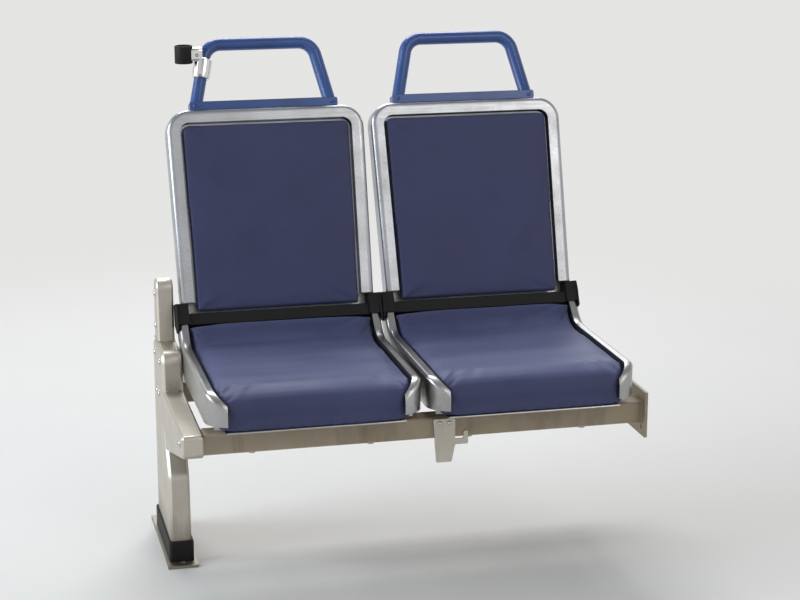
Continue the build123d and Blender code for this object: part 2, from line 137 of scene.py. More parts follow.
# Marks on the covers. Across is from a seat's middle line, along is the frame's own Y on a cushion and the
# distance up from the hip on a back. A point's share of the marks is MARKS_GAIN times how far it faces
# outward, up to 1.
MARKS_GAIN = 1.6
DENTS = {
    "seat": [{"along": -0.165, "width": 0.150, "length": 0.095, "depth": 0.0055},
             {"along": -0.352, "width": 0.190, "length": 0.030, "depth": -0.0012}],
    "back": [{"along": 0.120, "width": 0.120, "length": 0.090, "depth": 0.0018}],
}
WAVES = {
    "seat": {"across": 3.0, "along": 17.0, "seed": 1.7, "depth": 0.0011},
    "back": {"across": 5.0, "along": 7.0, "seed": 8.3, "depth": 0.0008},
}
CORNER_FOLDS = [
    {"across": 0.200, "along": -0.002, "count": 9, "width": 0.070, "depth": 0.0016},
    {"across": 0.196, "along": -0.405, "count": 8, "width": 0.060, "depth": 0.0018},
]
FOLD_TURN = 0.7
FOLD_POWER = 3
FOLD_START = 0.22
HEM = {"along": -0.400, "up": 0.372, "length": 0.012, "height": 0.014, "depth": 0.0007}
HEM_PITCH = 0.026
HEM_DRIFT = {"turn": 3, "across": 9.0, "seed": 4.1}

# Heads are rings of (round radius, distance to the flats, height).
ROUND = 1.0
HEAD_SIDES = 36
HEX = [(0.0085, ROUND, -0.0010), (0.0085, ROUND, 0.0012), (0.0082, ROUND, 0.0015),
       (0.0078, 0.0065, 0.0015), (0.0078, 0.0065, 0.0058), (0.0066, 0.0062, 0.0067)]
BUTTON = [(0.0072, ROUND, -0.0010), (0.0072, ROUND, 0.0008), (0.0065, ROUND, 0.0023),
          (0.0050, ROUND, 0.0036), (0.0036, ROUND, 0.0041), (0.0034, 0.0026, 0.0041),
          (0.0034, 0.0026, 0.0020)]
SMALL = 0.66
SMALL_BUTTON = [(radius * SMALL, flats if flats == ROUND else flats * SMALL, height * SMALL)
                for radius, flats, height in BUTTON]
RIVET = [(0.0036, ROUND, -0.0006), (0.0035, ROUND, 0.0004), (0.0026, ROUND, 0.0011),
         (0.0013, ROUND, 0.0014), (0.0011, ROUND, 0.0009)]
GRUB = [(0.0034, ROUND, -0.0006), (0.0034, ROUND, 0.0006), (0.0030, ROUND, 0.0010),
        (0.0020, 0.0016, 0.0010), (0.0020, 0.0016, -0.0004)]

# Where the heads are. Leg bolts are (node, y, z), clamp screws (x, z), and up is from the hip along the
# back. The rays that find them start clear of the seat.
LEG_BOLTS = [("aisle_leg", -0.022, 0.412), ("aisle_leg", 0.062, 0.412), ("aisle_leg", 0.006, 0.3355),
             ("aisle_leg", 0.034, 0.3355), ("leg_arm", -0.335, 0.3355), ("leg_upright", 0.064, 0.470),
             ("leg_upright", 0.064, 0.540)]
SIDE_RIVETS = {"across": 0.2055, "up": (0.030, 0.096, 0.162, 0.228, 0.294, 0.350)}
TOP_RIVETS = {"across": (-0.150, -0.090, -0.030, 0.030, 0.090, 0.150), "up": 0.4045}
SUPPORT_BOLTS_UP = (-0.010, 0.070, 0.160)
HANDLE_SCREWS = {"across": 0.149, "up": 0.421}
HANGER_SCREWS = {"x": (0.4970, 0.5170), "z": 0.3455}
CLAMP_SCREWS = ((0.105, 0.984), (0.101, 1.026))
RAY_FROM_AISLE_X = -0.2
RAY_FROM_FRONT_Y = -0.9
RAY_FROM_BELOW_Z = 0.1
RAY_OFF_BACK = 0.3

# Weld beads: their ripples, and their ends, which are thinner over a few steps. No bead runs along
# BEAD_ASIDE, which gives each its sideways direction.
BEAD_STEP = 0.0011
BEAD_LEAST_STEPS = 4
BEAD_PITCH = 0.0026
BEAD_SIDES = 10
BEAD_RIPPLE = 0.14
BEAD_UNEVEN = {"share": 0.10, "scale": 160}
BEAD_END = {"size": 0.35, "growth": 0.25}
BEAD_ASIDE = Vector((0.31, 0.52, 0.79))
CORNER_STEPS = (0, 0.25, 0.5, 0.75, 1)
BEADS = {
    "arm_side": {"radius": 0.0030, "bend": 0.006},
    "arm_top": {"radius": 0.0024, "bend": 0.004},
    "upright_foot": {"radius": 0.0023, "bend": 0.005, "closed": True},
    "beam_end": {"radius": 0.0024, "bend": 0.006, "closed": True},
    "support_foot": {"radius": 0.0020, "bend": 0.004},
}

# Where the beads are. The arm's seam runs up the leg's side through points (y, z).
ARM_SEAM_SIDE = 0.0176
ARM_SEAM = [(-0.0850, 0.2420), (-0.0690, 0.2665), (-0.0630, 0.2806), (-0.0600, 0.2963),
            (-0.0590, 0.3300), (-0.0585, 0.3545)]
ARM_TOP = {"x": (-0.0150, 0.0, 0.0150), "y": -0.0600, "z": 0.3582}
UPRIGHT_FOOT = {"middle": (0, 0.0630, 0.4396), "half_x": 0.0178, "half_y": 0.0290}
BEAM_END = {"x": 0.9258, "half": 0.0226}
SUPPORT_FOOT = {"y": 0.0428, "z": (0.3180, 0.3355, 0.3540)}

# The rolled hem of the pan under a cushion's front: an oval bar whose ends bow back a little.
LIP = {"half": 0.1785, "y": -0.4018, "z": 0.3696, "thick_y": 0.0030, "thick_z": 0.0024}
LIP_BOW = {"reach": 0.0016, "power": 6}
LIP_STEPS = 40
LIP_SIDES = 12


# Node helpers.
class Network:
    """The nodes of a material or of the world. A value that a call takes may be a number, a colour or
    another node's output."""

    def __init__(self, owner):
        owner.use_nodes = True
        self.nodes = owner.node_tree.nodes
        self.links = owner.node_tree.links

    def feed(self, socket, value):
        """Set an input to a number or a colour, or join it to an output."""
        if isinstance(value, tuple):
            socket.default_value = (*value, 1)
        elif isinstance(value, (int, float)):
            socket.default_value = value
        else:
            self.links.new(value, socket)

    def coordinates(self, kind):
        """The shaded point's coordinates: Object for its place, Generated for the world's direction."""
        return self.nodes.new("ShaderNodeTexCoord").outputs[kind]

    def place(self, stretch=(1, 1, 1), turn=(0, 0, 0)):
        """The shaded point's place, stretched and turned."""
        mapping = self.nodes.new("ShaderNodeMapping")
        mapping.inputs["Scale"].default_value = stretch
        mapping.inputs["Rotation"].default_value = turn
        self.links.new(self.coordinates("Object"), mapping.inputs["Vector"])
        return mapping.outputs["Vector"]

    def along(self, vector, axis):
        """A vector's part along one axis."""
        split = self.nodes.new("ShaderNodeSeparateXYZ")
        self.links.new(vector, split.inputs["Vector"])
        return split.outputs[axis]

    def height(self):
        """The shaded point's height above the floor."""
        return self.along(self.coordinates("Object"), "Z")

    def facing_up(self):
        """How far the surface faces up, from -1 to 1."""
        return self.along(self.nodes.new("ShaderNodeNewGeometry").outputs["Normal"], "Z")

    def cloud(self, place, scale=1.0, detail=4.0, roughness=0.55):
        """Noise from 0 to 1."""
        texture = self.nodes.new("ShaderNodeTexNoise")
        texture.inputs["Scale"].default_value = scale
        texture.inputs["Detail"].default_value = detail
        texture.inputs["Roughness"].default_value = roughness
        self.links.new(place, texture.inputs["Vector"])
        return texture.outputs["Fac"]

    def cell_edges(self, place, scale):
        """Distance to the nearest edge between the cells of a leathery grain."""
        texture = self.nodes.new("ShaderNodeTexVoronoi")
        texture.feature = "DISTANCE_TO_EDGE"
        texture.inputs["Scale"].default_value = scale
        self.links.new(place, texture.inputs["Vector"])
        return texture.outputs["Distance"]

    def spread(self, value, low, high, result=(0.0, 1.0), smooth=False):
        """A value's range from low to high, clamped and turned into another range."""
        ranged = self.nodes.new("ShaderNodeMapRange")
        ranged.interpolation_type = "SMOOTHSTEP" if smooth else "LINEAR"
        ranged.inputs["From Min"].default_value = low
        ranged.inputs["From Max"].default_value = high
        ranged.inputs["To Min"].default_value, ranged.inputs["To Max"].default_value = result
        self.links.new(value, ranged.inputs["Value"])
        return ranged.outputs["Result"]

    def maths(self, kind, first, second=0.0):
        """Two values combined, or one value changed."""
        step = self.nodes.new("ShaderNodeMath")
        step.operation = kind
        self.feed(step.inputs[0], first)
        self.feed(step.inputs[1], second)
        return step.outputs["Value"]

    def plus(self, first, second):
        """Sum of two values."""
        return self.maths("ADD", first, second)

    def times(self, first, second):
        """Product of two values."""
        return self.maths("MULTIPLY", first, second)

    def between(self, share, first, second):
        """Number between two numbers."""
        mix = self.nodes.new("ShaderNodeMix")
        for name, value in (("Factor", share), ("A", first), ("B", second)):
            self.feed(mix.inputs[name], value)
        return mix.outputs["Result"]

    def blend(self, share, first, second):
        """Colour between two colours."""
        mix = self.nodes.new("ShaderNodeMix")
        mix.data_type = "RGBA"
        self.feed(mix.inputs["Factor"], share)
        colour_sockets = [socket for socket in mix.inputs if socket.type == "RGBA"]
        for socket, colour in zip(colour_sockets, (first, second)):
            self.feed(socket, colour)
        return next(socket for socket in mix.outputs if socket.type == "RGBA")

    def emboss(self, height, depth, strength, over=None):
        """Bump of a depth in metres, on top of another bump."""
        bump = self.nodes.new("ShaderNodeBump")
        bump.inputs["Distance"].default_value = depth
        bump.inputs["Strength"].default_value = strength
        self.links.new(height, bump.inputs["Height"])
        if over is not None:
            self.links.new(over, bump.inputs["Normal"])
        return bump.outputs["Normal"]

    def surface(self, colour, roughness, normal=None, **constants):
        """Join the shader's inputs. Constants are its other inputs, with _ for a space in their names."""
        inputs = self.nodes["Principled BSDF"].inputs
        self.feed(inputs["Base Color"], colour)
        self.feed(inputs["Roughness"], roughness)
        if normal is not None:
            self.feed(inputs["Normal"], normal)
        for name, value in constants.items():
            self.feed(inputs[name.replace("_", " ")], value)

    def seen(self):
        """1 for what the camera, a glossy surface or glass sees, 0 for what lights the seat."""
        ray = self.nodes.new("ShaderNodeLightPath").outputs
        straight = self.plus(ray["Is Camera Ray"], ray["Is Glossy Ray"])
        return self.maths("MINIMUM", self.plus(straight, ray["Is Transmission Ray"]), 1.0)

    def show(self, share, first, second, output):
        """Send a mix of two shaders to the output."""
        mixed = self.nodes.new("ShaderNodeMixShader")
        for socket, value in zip(mixed.inputs, (share, first, second)):
            self.links.new(value, socket)
        self.links.new(mixed.outputs["Shader"], self.nodes[output].inputs["Surface"])


def new_material(name):
    """An empty node material and its network."""
    material = bpy.data.materials.new(name)
    return material, Network(material)


# Materials.
SCRATCHES = {"stretch": (260, 260, 14), "turn": (0.5, 0.3, 0.2)}
TURN_BLUR = 0.012
GRIME_COLOUR = (0.20, 0.17, 0.14)
CHIP_COLOUR = (0.42, 0.40, 0.38)
CHIP_FROM, CHIP_FULL = 0.735, 0.745
PIT_COLOUR = (0.30, 0.27, 0.24)


def brushed(name, colour, dark, stretch, roughness=(0.42, 0.26), top_turn=None, splashed=None):
    """Brushed metal with fine streaks, smudges and handling scratches. Above top_turn, a height, the
    brushing runs across. Below splashed, another height, mopping water has left grime. The roughness goes
    from the darkest to the brightest tone."""
    material, net = new_material(name)
    streak = net.cloud(net.place(stretch), detail=3.0, roughness=0.7)
    if top_turn is not None:
        across = net.cloud(net.place(stretch[::-1]), detail=3.0, roughness=0.7)
        above = net.spread(net.height(), top_turn - TURN_BLUR, top_turn + TURN_BLUR)
        streak = net.between(above, streak, across)
    smudge = net.cloud(net.place(), scale=9.0, detail=5.0, roughness=0.6)
    tone = net.plus(net.times(streak, 0.5), net.times(smudge, 0.5))
    base = net.blend(net.spread(tone, 0.36, 0.64), dark, colour)
    if splashed is not None:
        runs = net.cloud(net.place((70, 70, 5)), detail=5.0, roughness=0.65)
        low = net.spread(net.height(), 0.0, splashed, result=(1.0, 0.0))
        grime = net.spread(net.plus(low, runs), 0.80, 1.25)
        base = net.blend(net.times(grime, 0.75), base, GRIME_COLOUR)
    scratch = net.spread(net.cloud(net.place(**SCRATCHES), detail=2.0), 0.66, 0.70)
    rough = net.plus(net.spread(tone, 0.35, 0.65, result=roughness), net.times(scratch, 0.12))
    grooves = net.emboss(streak, depth=0.00012, strength=0.5)
    net.surface(base, rough, net.emboss(scratch, depth=-0.00008, strength=0.5, over=grooves), Metallic=1.0)
    return material


def painted(name, colour, worn, grime, roughness, coat=0.0):
    """Sprayed or powder coated metal: orange peel, faded patches, chips down to the metal, grime."""
    material, net = new_material(name)
    place = net.place()
    patch = net.cloud(place, scale=6.0, detail=5.0, roughness=0.6)
    faded = net.blend(net.spread(patch, 0.42, 0.66), colour, worn)
    dirt = net.spread(net.cloud(net.place((24, 24, 7)), detail=6.0, roughness=0.65), 0.52, 0.78)
    dirty = net.blend(net.times(dirt, 0.55), faded, grime)
    chips = net.spread(net.cloud(place, scale=95.0, detail=6.0, roughness=0.6), CHIP_FROM, CHIP_FULL)
    peel = net.emboss(net.cloud(place, scale=420.0, detail=1.0), depth=0.00025, strength=0.35)
    net.surface(net.blend(chips, dirty, CHIP_COLOUR), net.spread(patch, 0.35, 0.7, result=roughness),
                net.emboss(chips, depth=-0.00015, strength=0.6, over=peel),
                Coat_Weight=coat, Coat_Roughness=0.22)
    return material


def moulded(name, colour, dusty):
    """Moulded plastic with a fine spark texture, scuffs and dust."""
    material, net = new_material(name)
    scuff = net.spread(net.cloud(net.place((18, 60, 60)), detail=5.0, roughness=0.7), 0.5, 0.8)
    grain = net.cloud(net.place(), scale=1500.0, detail=2.0)
    net.surface(net.blend(net.times(scuff, 0.6), colour, dusty),
                net.spread(scuff, 0.0, 1.0, result=(0.58, 0.80)),
                net.emboss(grain, depth=0.00018, strength=0.5), Specular_IOR_Level=0.28)
    return material


def polished(name, colour):
    """Smooth metal with faint wipe marks and pits."""
    material, net = new_material(name)
    wipe = net.cloud(net.place((60, 60, 20)), detail=5.0, roughness=0.6)
    pits = net.spread(net.cloud(net.place(), scale=420.0, detail=2.0), 0.70, 0.74)
    net.surface(net.blend(pits, colour, PIT_COLOUR), net.spread(wipe, 0.35, 0.7, result=(0.09, 0.24)),
                net.emboss(pits, depth=-0.0001, strength=0.4), Metallic=1.0)
    return material


def seamed(name, colour, straw, blued):
    """Bare weld metal, with the straw and blue tints that heat leaves."""
    material, net = new_material(name)
    place = net.place()
    heat = net.cloud(place, scale=60.0, detail=3.0, roughness=0.5)
    tinted = net.blend(net.spread(heat, 0.40, 0.56), colour, straw)
    tinted = net.blend(net.spread(heat, 0.58, 0.70), tinted, blued)
    slag = net.cloud(place, scale=900.0, detail=3.0)
    net.surface(tinted, net.spread(heat, 0.3, 0.7, result=(0.34, 0.52)),
                net.emboss(slag, depth=0.00015, strength=0.6), Metallic=1.0)
    return material


def upholstery(name, colour, worn, painted_top_light, soil):
    """Vinyl-coated cloth: fine leathery grain, soft fading where people sit, painted light that makes the
    sides that face up paler, in soft bands, and soil in patches."""
    material, net = new_material(name)
    place = net.place()
    patch = net.cloud(place, scale=5.0)
    faded = net.blend(net.spread(patch, 0.38, 0.68), colour, worn)
    # Painted light: sides that face up get a paler colour, in soft bands, as if lit from above. From here
    # on, faded holds this painted light as well as the fading.
    painted_light_bands = net.cloud(net.place((2.2, 15, 4)), detail=2.0, roughness=0.5)
    painted_top_share = net.times(net.spread(net.facing_up(), 0.68, 0.92),
                       net.spread(painted_light_bands, 0.30, 0.66, result=(0.25, 1.0)))
    faded = net.blend(painted_top_share, faded, painted_top_light)
    stain = net.spread(net.cloud(place, scale=13.0, detail=6.0, roughness=0.62), 0.54, 0.76)
    creases = net.spread(net.cell_edges(place, scale=520.0), 0.0, 0.22)
    grain = net.emboss(creases, depth=0.00022, strength=0.45)
    fibre = net.cloud(place, scale=1400.0, detail=2.0)
    net.surface(net.blend(net.times(stain, 0.30), faded, soil),
                net.spread(patch, 0.35, 0.70, result=(0.46, 0.60)),
                net.emboss(fibre, depth=0.00012, strength=0.4, over=grain),
                Specular_IOR_Level=0.34, Sheen_Weight=0.06, Sheen_Roughness=0.4)
    return material


stainless_rim = brushed("stainless_rim", colour=(0.50, 0.52, 0.56), dark=(0.33, 0.335, 0.345),
                        stretch=(620, 620, 9), top_turn=0.868)
stainless_pan = brushed("stainless_pan", colour=(0.50, 0.50, 0.50), dark=(0.33, 0.32, 0.31),
                        stretch=(620, 9, 620))
stainless_panel = brushed("stainless_panel", colour=(0.44, 0.44, 0.45), dark=(0.31, 0.31, 0.31),
                          stretch=(520, 520, 7))
leg_steel = brushed("leg_steel", colour=(0.59, 0.555, 0.49), dark=(0.49, 0.455, 0.395),
                    stretch=(1100, 1100, 7), roughness=(0.54, 0.38), splashed=0.16)
blue_coat = painted("blue_coat", colour=(0.016, 0.064, 0.250), worn=(0.026, 0.088, 0.295),
                    grime=(0.010, 0.022, 0.060), roughness=(0.30, 0.42), coat=0.30)
frame_paint = painted("frame_paint", colour=(0.36, 0.29, 0.20), worn=(0.42, 0.35, 0.26),
                      grime=(0.12, 0.10, 0.08), roughness=(0.45, 0.62))
black_plastic = moulded("black_plastic", colour=(0.004, 0.004, 0.005), dusty=(0.026, 0.025, 0.024))
chrome = polished("chrome", colour=(0.72, 0.72, 0.72))
bolt_metal = polished("bolt_metal", colour=(0.56, 0.55, 0.53))
zinc = polished("zinc", colour=(0.50, 0.47, 0.40))
dark_screw = polished("dark_screw", colour=(0.10, 0.10, 0.10))
weld_metal = seamed("weld_metal", colour=(0.50, 0.48, 0.45), straw=(0.46, 0.36, 0.22),
                    blued=(0.22, 0.24, 0.34))
# The third colour below is painted light: the paler tone of the tops that face up.
vinyl = upholstery("vinyl", colour=(0.042, 0.048, 0.122), worn=(0.056, 0.064, 0.150),
                   painted_top_light=(0.088, 0.100, 0.205), soil=(0.024, 0.026, 0.058))

# Material of each CAD node, or of each seat's node of that name.
FINISHES = {
    "back_rim": stainless_rim, "back_shell": stainless_panel, "seat_pan": stainless_pan,
    "grab_handle": blue_coat, "bight_trim": black_plastic, "pan_rails": frame_paint,
    "back_supports": frame_paint, "back_insert": vinyl, "seat_insert": vinyl,
    "front_beam": frame_paint, "rear_beam": frame_paint, "wall_bracket": frame_paint,
    "beam_hanger": leg_steel, "aisle_leg": leg_steel, "leg_arm": leg_steel, "leg_upright": leg_steel,
    "leg_foot": leg_steel, "leg_boot": black_plastic, "stanchion_socket": black_plastic,
    "stanchion_clamp": chrome,
}


def dress(node_name):
    """Give a CAD node its material, and round its sharp edges a little."""
    piece = frame["nodes"][node_name]
    piece.data.materials.clear()
    piece.data.materials.append(FINISHES.get(node_name) or FINISHES[node_name.split("_", 1)[1]])
    weld = piece.modifiers.new("weld", "WELD")
    weld.merge_threshold = SAME_POINT
    flat = piece.modifiers.new("flat", "DECIMATE")
    flat.decimate_type = "DISSOLVE"
    flat.angle_limit = FLAT_ANGLE
    edge = piece.modifiers.new("edge", "BEVEL")
    edge.width = EDGE_ROUNDING
    edge.segments = 2
    edge.limit_method = "ANGLE"
    edge.angle_limit = SHARP_ANGLE


# Pads.
def welded_copy(node_name, name, inset):
    """A new object with a CAD node's shape, welded and drawn inward a little."""
    mesh = frame["nodes"][node_name].data.copy()
    form = bmesh.new()
    form.from_mesh(mesh)
    bmesh.ops.remove_doubles(form, verts=form.verts, dist=SAME_POINT)
    form.normal_update()
    for vertex in form.verts:
        vertex.co -= vertex.normal * inset * vertex.calc_shell_factor()
    form.to_mesh(mesh)
    form.free()
    mesh.materials.clear()
    piece = bpy.data.objects.new(name, mesh)
    bpy.context.collection.objects.link(piece)
    return piece


def settled(piece):
    """Replace a piece's mesh with what its modifiers make of it."""
    graph = bpy.context.evaluated_depsgraph_get()
    mesh = bpy.data.meshes.new_from_object(piece.evaluated_get(graph))
    piece.modifiers.clear()
    piece.data = mesh


def swell(piece, outward, most):
    """Blow the pad up like a stuffed cover, no point by more than most, with the side away from outward
    held on its board."""
    points = [vertex.co.copy() for vertex in piece.data.vertices]
    held = [vertex.index for vertex in piece.data.vertices if vertex.normal.dot(outward) < PAD_HELD]
    group = piece.vertex_groups.new(name="held")
    group.add(held, 1.0, "REPLACE")
    cloth = piece.modifiers.new("cloth", "CLOTH")
    for setting, value in PAD_CLOTH.items():
        setattr(cloth.settings, setting, value)
    cloth.settings.vertex_group_mass = group.name
    cloth.settings.effector_weights.gravity = 0
    cloth.point_cache.frame_end = PAD_FRAMES
    scene = bpy.context.scene
    for step in range(1, PAD_FRAMES + 1):
        scene.frame_set(step)
    settled(piece)
    for vertex, start in zip(piece.data.vertices, points):
        moved = vertex.co - start
        if moved.length > most:
            vertex.co = start + moved.normalized() * most
    scene.frame_set(1)


def bell(distance, width):
    """1 in the middle, falling off smoothly with distance."""
    return math.exp(-(distance / width) ** 2)


def dents(part, across, along):
    """Depth of the hollows that use has left, less that of the raised places."""
    return sum(dent["depth"] * bell(across, dent["width"]) * bell(along - dent["along"], dent["length"])
               for dent in DENTS[part])


def waves(part, across, along):
    """Slow unevenness of a cover."""
    wave = WAVES[part]
    return wave["depth"] * noise.noise(Vector((across * wave["across"], along * wave["along"],
                                               wave["seed"])))


def gathers(across, along, count, width):
    """Folds that fan out from a corner, 0 to 1 deep."""
    reach = math.hypot(across, along)
    fan = max(0.0, math.cos(math.atan2(along, across) * count + FOLD_TURN)) ** FOLD_POWER
    return fan * bell(reach, width) * (1 - bell(reach, width * FOLD_START))


def seat_height(place, middle):
    """How far the seat cover's upper side and front stand from the blown-up shape."""
    across, along = place.x - middle, place.y
    folds = sum(corner["depth"] * gathers(across - side * corner["across"], along - corner["along"],
                                          corner["count"], corner["width"])
                for corner in CORNER_FOLDS for side in SIDES)
    drift = noise.noise(Vector((across * HEM_DRIFT["across"], 0, HEM_DRIFT["seed"])))
    pulls = math.cos(across * 2 * math.pi / HEM_PITCH + HEM_DRIFT["turn"] * drift)
    hem = bell(place.z - HEM["up"], HEM["height"]) * bell(along - HEM["along"], HEM["length"])
    return (waves("seat", across, along) - dents("seat", across, along) - folds
            - HEM["depth"] * hem * (pulls + 1))


def back_height(place, middle):
    """The same for the front of the back's cover."""
    across, up = place.x - middle, (place - HIP).dot(BACK_UPWARD)
    return waves("back", across, up) - dents("back", across, up)


def work_over(piece, outward, height, middle, waist):
    """Add the marks of use and of stretching the cover to the sides that face outward, and pull the pad's
    sides in between its corners."""
    mesh = piece.data
    half = max(abs(vertex.co.x - middle) for vertex in mesh.vertices)
    lengthways = outward.cross(Vector((1, 0, 0)))
    ends = [vertex.co.dot(lengthways) for vertex in mesh.vertices]
    start, length = min(ends), max(ends) - min(ends)
    moves = []
    for vertex, end in zip(mesh.vertices, ends):
        facing = max(0.0, vertex.normal.dot(outward), -vertex.normal.y)
        share = min(1.0, facing * MARKS_GAIN)
        side = (vertex.co.x - middle) / half
        drawn = math.sin(math.pi * (end - start) / length) * waist * side ** PAD_WAIST_POWER
        moves.append(vertex.normal * height(vertex.co, middle) * share - Vector((drawn, 0, 0)))
    for vertex, move in zip(mesh.vertices, moves):
        vertex.co += move


def pad(seat, part, outward, height):
    """An upholstered pad in the place of a plain CAD insert."""
    node_name = f"{seat}_{part}_insert"
    piece = welded_copy(node_name, f"{seat}_{part}_pad", PAD_INSET[part])
    remesh = piece.modifiers.new("remesh", "REMESH")
    remesh.mode = "VOXEL"
    remesh.voxel_size = PAD_VOXEL
    settled(piece)
    swell(piece, outward, PAD_SWELL[part])
    piece.modifiers.new("finer", "SUBSURF").levels = 1
    settled(piece)
    work_over(piece, outward, height, SEAT_MIDDLE[seat], PAD_WAIST[part])
    piece.data.polygons.foreach_set("use_smooth", [True] * len(piece.data.polygons))
    piece.data.materials.clear()
    piece.data.materials.append(vinyl)
    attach(piece, BODY)
    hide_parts(node_name)


# Small fittings, in mesh code. A place on a CAD node is found by a ray, so that each fitting sits on it.
def added(name, form, material):
    """A finished piece from a bmesh."""
    bmesh.ops.recalc_face_normals(form, faces=form.faces)
    mesh = bpy.data.meshes.new(name)
    form.to_mesh(mesh)
    form.free()
    mesh.polygons.foreach_set("use_smooth", [True] * len(mesh.polygons))
    mesh.set_sharp_from_angle(angle=ADDED_SHARP_ANGLE)
    mesh.materials.append(material)
    piece = bpy.data.objects.new(name, mesh)
    bpy.context.collection.objects.link(piece)
    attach(piece, BODY)


def turns(count):
    """Angles evenly round a circle."""
    return [2 * math.pi * step / count for step in range(count)]


def skin(form, loops, closed=False):
    """Faces between loops of points, in a closed row or with a face over each end."""
    for low, high in zip(loops, loops[1:] + loops[:1] if closed else loops[1:]):
        for step in range(len(low)):
            after = (step + 1) % len(low)
            form.faces.new((low[step], low[after], high[after], high[step]))
    if not closed:
        form.faces.new(loops[0][::-1])
        form.faces.new(loops[-1])


def landing(node_name, start, way):
    """Where a ray meets a CAD node, and the way the surface faces there."""
    form = bmesh.new()
    form.from_mesh(frame["nodes"][node_name].data)
    tree = BVHTree.FromBMesh(form)
    form.free()
    place, facing, _, _ = tree.ray_cast(Vector(start), Vector(way).normalized())
    return place, facing


def on_back(middle, across, up, node_name, behind=True):
    """A place on the back of one seat, seen from behind or from the front."""
    start = HIP + BACK_UPWARD * up + Vector((middle + across, 0, 0))
    way = BACK_FORWARD if behind else -BACK_FORWARD
    return landing(node_name, start - way * RAY_OFF_BACK, way)


def turned(form, rings, place, axis):
    """A head on an axis from rings of (round radius, distance from the axis to the flats, height). At each
    angle the smaller of circle and hexagon counts."""
    lift = Vector(axis).normalized()
    side = lift.orthogonal().normalized()
    other = lift.cross(side)
    loops = []
    for radius, flats, height in rings:
        loop = []
        for turn in turns(HEAD_SIDES):
            flat_turn = (turn + math.pi / 6) % (math.pi / 3) - math.pi / 6
            reach = min(radius, flats / math.cos(flat_turn))
            spoke = side * math.cos(turn) + other * math.sin(turn)
            loop.append(form.verts.new(place + lift * height + spoke * reach))
        loops.append(loop)
    skin(form, loops)


def heads(name, rings, spots, material):
    """One piece of several equal screw, bolt or rivet heads at (place, axis)."""
    form = bmesh.new()
    for place, axis in spots:
        turned(form, rings, place, axis)
    added(name, form, material)


def fittings():
    """Screws, bolts and rivets."""
    leg_side = [landing(node, (RAY_FROM_AISLE_X, y, z), (1, 0, 0)) for node, y, z in LEG_BOLTS]
    heads("leg_bolts", BUTTON, leg_side, bolt_metal)
    for seat, middle in SEAT_MIDDLE.items():
        rivets = [on_back(middle, side * SIDE_RIVETS["across"], up, f"{seat}_back_rim")
                  for side in SIDES for up in SIDE_RIVETS["up"]]
        rivets += [on_back(middle, across, TOP_RIVETS["up"], f"{seat}_back_rim")
                   for across in TOP_RIVETS["across"]]
        heads(f"{seat}_panel_rivets", RIVET, rivets, bolt_metal)
        bolts = [on_back(middle, side * RAIL_SIDE, up, f"{seat}_back_supports")
                 for side in SIDES for up in SUPPORT_BOLTS_UP]
        bolts += [landing(f"{beam}_beam", (middle + side * RAIL_SIDE, place.y, RAY_FROM_BELOW_Z), (0, 0, 1))
                  for side in SIDES for beam, place in BEAM_MIDDLE.items()]
        heads(f"{seat}_frame_bolts", HEX, bolts, zinc)
        screws = [on_back(middle, side * HANDLE_SCREWS["across"], HANDLE_SCREWS["up"],
                          f"{seat}_grab_handle", behind=False) for side in SIDES]
        heads(f"{seat}_handle_screws", SMALL_BUTTON, screws, blue_coat)
    hanger = [landing("beam_hanger", (x, RAY_FROM_FRONT_Y, HANGER_SCREWS["z"]), (0, 1, 0))
              for x in HANGER_SCREWS["x"]]
    heads("hanger_screws", SMALL_BUTTON, hanger, bolt_metal)
    clamp = [landing("stanchion_clamp", (x, RAY_FROM_FRONT_Y, z), (0, 1, 0)) for x, z in CLAMP_SCREWS]
    heads("clamp_screws", GRUB, clamp, dark_screw)


def rounded_path(corners, radius, closed):
    """Corners of a line joined with small arcs."""
    points = []
    count = len(corners)
    for index, corner in enumerate(corners):
        if not closed and index in (0, count - 1):
            points.append(corner)
            continue
        before, after = corners[index - 1], corners[(index + 1) % count]
        first = corner + (before - corner).normalized() * radius
        last = corner + (after - corner).normalized() * radius
        points += [first.lerp(corner, t).lerp(corner.lerp(last, t), t) for t in CORNER_STEPS]
    return points + points[:1] if closed else points


def stepped(points, closed):
    """Points at even distances along a line, of about BEAD_STEP."""
    lengths = [0.0]
    for first, last in zip(points, points[1:]):
        lengths.append(lengths[-1] + (last - first).length)
    count = max(BEAD_LEAST_STEPS, int(lengths[-1] / BEAD_STEP))
    line, index = [], 0
    for step in range(count + (0 if closed else 1)):
        reach = lengths[-1] * step / count
        while index < len(points) - 2 and lengths[index + 1] < reach:
            index += 1
        share = (reach - lengths[index]) / max(lengths[index + 1] - lengths[index], 1e-9)
        line.append(points[index].lerp(points[index + 1], share))
    return line


def bead(form, corners, radius, bend, closed=False):
    """A weld bead with the ripples of its passes, along a line with rounded corners."""
    line = stepped(rounded_path(corners, bend, closed), closed)
    last = len(line) - 1
    middle = sum(line, Vector()) / len(line)
    loops = []
    for step, point in enumerate(line):
        if closed:
            ahead, behind = line[(step + 1) % len(line)], line[step - 1]
        else:
            ahead, behind = line[min(step + 1, last)], line[max(step - 1, 0)]
        along = (ahead - behind).normalized()
        side = along.cross(BEAD_ASIDE).normalized()
        other = along.cross(side)
        ripple = BEAD_RIPPLE * (abs(math.cos(math.pi * step * BEAD_STEP / BEAD_PITCH)) - 1)
        uneven = BEAD_UNEVEN["share"] * noise.noise(point * BEAD_UNEVEN["scale"] + middle)
        size = radius * (1 + ripple + uneven)
        if not closed:
            size *= min(1.0, BEAD_END["size"] + BEAD_END["growth"] * min(step, last - step))
        loops.append([form.verts.new(point + (side * math.cos(turn) + other * math.sin(turn)) * size)
                      for turn in turns(BEAD_SIDES)])
    skin(form, loops, closed)


def box_corners(middle, first, second):
    """Corners of a rectangle from its middle and two half sides."""
    return [middle + first * a + second * b for a, b in ((-1, -1), (1, -1), (1, 1), (-1, 1))]


